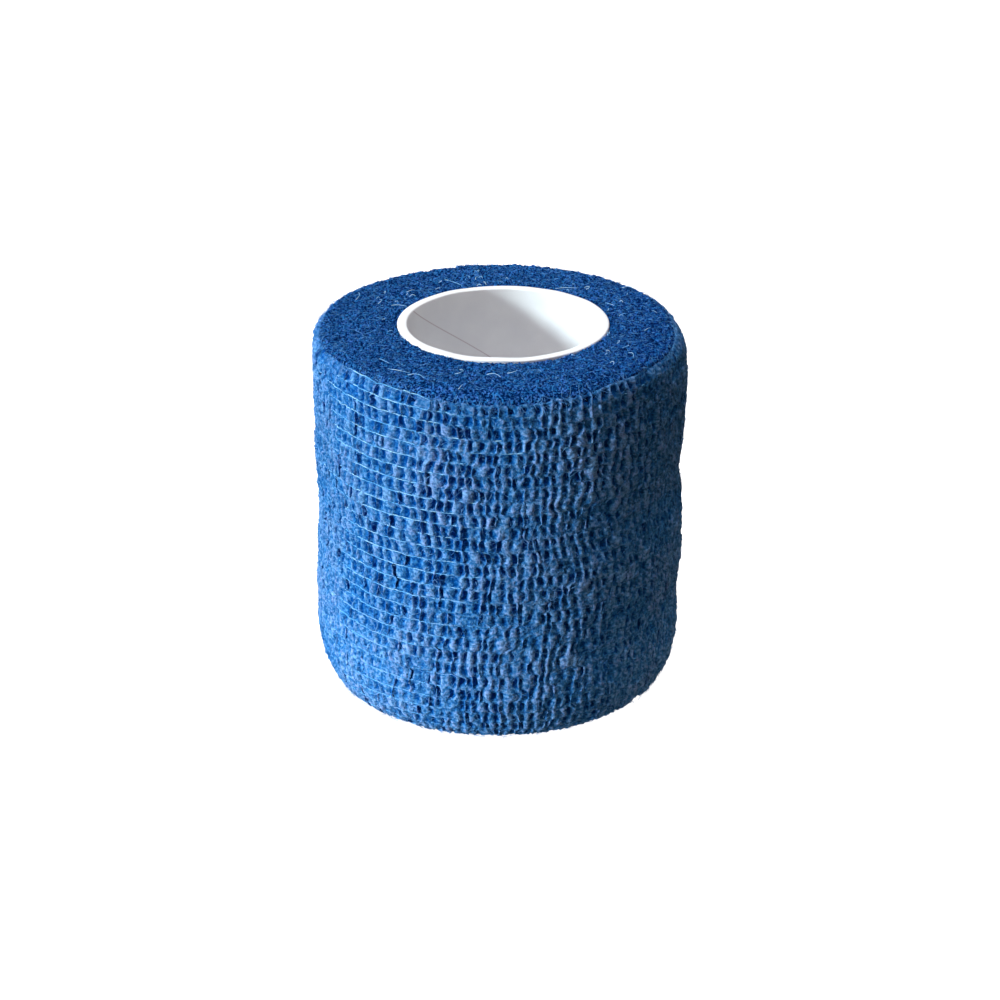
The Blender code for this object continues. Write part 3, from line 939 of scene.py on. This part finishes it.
def floor_finish():
    """Pale paper with a very faint mottle."""
    finish, tree, shader = new_finish("pale_floor")
    place = add(tree, "ShaderNodeTexCoord").outputs["Object"]
    mottle = add(tree, "ShaderNodeTexNoise", Vector=place, Scale=30.0, Detail=3.0).outputs[0]
    put(tree, shader, "Base Color", blend_colors(tree, mottle, (0.90, 0.90, 0.905, 1), (0.92, 0.92, 0.922, 1)))
    shader.inputs["Roughness"].default_value = 0.9
    shader.inputs["Specular IOR Level"].default_value = 0.1
    return finish


floor_turn = 2 * math.pi * np.arange(96) / 96
floor_rings = np.array([0.0, 60.0, 400.0, FLOOR_RADIUS])[1:, None]
floor_points = np.stack([floor_rings * np.cos(floor_turn), floor_rings * np.sin(floor_turn),
                         0 * floor_rings * floor_turn - 0.02], axis=-1).reshape(-1, 3)
floor = mesh_piece("floor", floor_points, [ring_faces(3, 96, False), np.arange(96)[None, :]], floor_finish())
floor.visible_diffuse = False
floor.visible_glossy = False


# %% Lights
def sun(name, toward, height, disc, strength, color):
    """A sun lamp that shines from a compass angle and a height, both in degrees, with a wide disc."""
    lamp = bpy.data.lights.new(name, "SUN")
    lamp.angle = math.radians(disc)
    lamp.energy = strength
    lamp.color = color
    holder = bpy.data.objects.new(name, lamp)
    holder.rotation_euler = (math.radians(90 - height), 0, math.radians(toward + 90))
    bpy.context.scene.collection.objects.link(holder)
    return holder


KEY_FROM, KEY_HEIGHT = 212.3, 15.5
key_light = sun("key_light", KEY_FROM, KEY_HEIGHT, 8, 2.9, (1.0, 0.99, 0.98))
left_bounce = sun("left_bounce", 214, -20, 54, 0.94, (1.0, 0.99, 0.97))
bore_light = sun("bore_light", 190, 16, 11, 4.4, (0.82, 0.98, 1.0))
top_light = sun("top_light", 185, 78, 60, 2.8, (0.94, 0.97, 1.0))
floor_light = sun("floor_light", 0, 88, 80, 3.5, (1.0, 1.0, 1.0))

# %% Two lamps close to the foot
def low_lamp(name, toward, away, height, size, energy, color):
    """A round lamp at a compass angle in degrees and millimetres from the axis, facing the axis."""
    lamp = bpy.data.lights.new(name, "AREA")
    lamp.shape = "DISK"
    lamp.size = size * MM
    lamp.energy = energy
    lamp.color = color
    holder = bpy.data.objects.new(name, lamp)
    angle = math.radians(toward)
    holder.location = (away * math.cos(angle) * MM, away * math.sin(angle) * MM, height * MM)
    holder.rotation_euler = (math.pi / 2, 0, angle + math.pi / 2)
    bpy.context.scene.collection.objects.link(holder)
    return holder


left_foot = low_lamp("left_foot", 210, 84, -10, 60, 0.040, (1.0, 1.0, 1.0))
right_foot = low_lamp("right_foot", 332, 64, -8, 40, 0.0038, (1.0, 0.85, 0.7))

# %% The lamps leave the floor alone, and the floor and the tube have a light of their own
def light_group(name, pieces):
    """A collection of the pieces that a lamp lights, or that cast its shadows."""
    group = bpy.data.collections.new(name)
    for piece in pieces:
        group.objects.link(piece)
    return group


whole_roll = [piece for piece in bpy.context.scene.objects if piece.type == "MESH" and piece.name != floor.name]
on_the_roll = light_group("on_the_roll", whole_roll)
on_the_cloth = light_group("on_the_cloth", [piece for piece in whole_roll if piece.name != tube.name])
on_the_tube = light_group("on_the_tube", [tube])
on_the_floor = light_group("on_the_floor", [floor])
for lamp, receivers, blockers in ((key_light, on_the_cloth, on_the_roll), (bore_light, on_the_tube, on_the_roll),
                                  (left_bounce, on_the_roll, on_the_roll), (left_foot, on_the_roll, on_the_roll),
                                  (right_foot, on_the_roll, on_the_roll), (floor_light, on_the_floor, on_the_floor)):
    lamp.light_linking.receiver_collection = receivers
    lamp.light_linking.blocker_collection = blockers

# %% A pale sky
world = bpy.data.worlds.new("pale_sky")
world.use_nodes = True
sky = world.node_tree.nodes["Background"]
sky.inputs["Color"].default_value = (1.0, 0.74, 0.55, 1)
sky.inputs["Strength"].default_value = 0.138
bpy.context.scene.world = world
bpy.context.scene.view_settings.view_transform = "Standard"

# %% The camera looks down at the roll by about 25 degrees
CAMERA_AWAY = 345.0
CAMERA_HEIGHT = math.radians(24.9)
AIM = np.array([0.16, -0.1, 24.5])
LENS = 91.6
camera_data = bpy.data.cameras.new("camera")
camera_data.lens = LENS
camera_data.sensor_width = 36.0
camera = bpy.data.objects.new("camera", camera_data)
backward = np.array([0.0, -math.cos(CAMERA_HEIGHT), math.sin(CAMERA_HEIGHT)])
camera.location = (AIM + CAMERA_AWAY * backward) * MM
camera.rotation_euler = (math.pi / 2 - CAMERA_HEIGHT, 0, 0)
bpy.context.scene.collection.objects.link(camera)
bpy.context.scene.camera = camera
camera_data.clip_start = 0.01
print("camera at", [round(number, 3) for number in camera.location])
